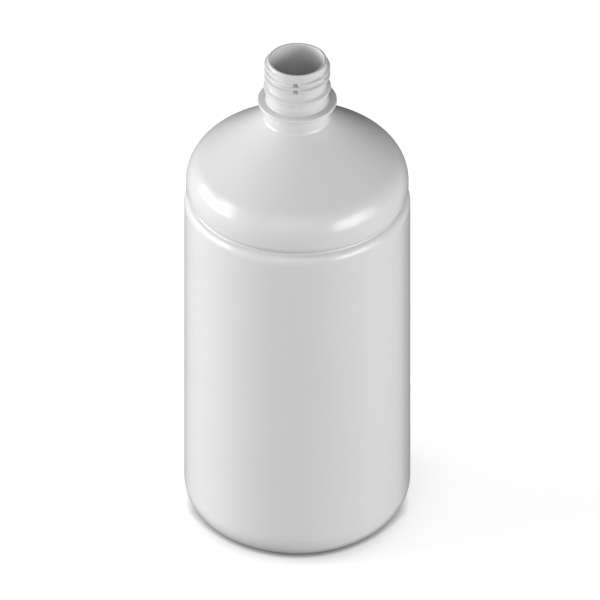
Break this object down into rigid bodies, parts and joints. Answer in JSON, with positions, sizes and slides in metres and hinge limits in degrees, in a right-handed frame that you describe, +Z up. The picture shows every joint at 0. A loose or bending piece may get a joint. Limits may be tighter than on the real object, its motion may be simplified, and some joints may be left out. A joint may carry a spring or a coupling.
{
  "type": "cylindrical bottle",
  "caption": "Tall white plastic bottle with a cylindrical body, a waist groove, a sloping shoulder, a support ring and an open threaded neck.",
  "frame": {"origin": "centre of the base, on the plane that the bottle stands on", "axes": "+Z up along the bottle's axis towards the mouth; -Y is the front, where the first slot of the thread is"},
  "size_m": [0.094, 0.094, 0.2256],
  "materials": {
    "white_plastic": "satin"
  },
  "bodies": {
    "root": {"bottle": "white_plastic"}
  },
  "joints": []
}
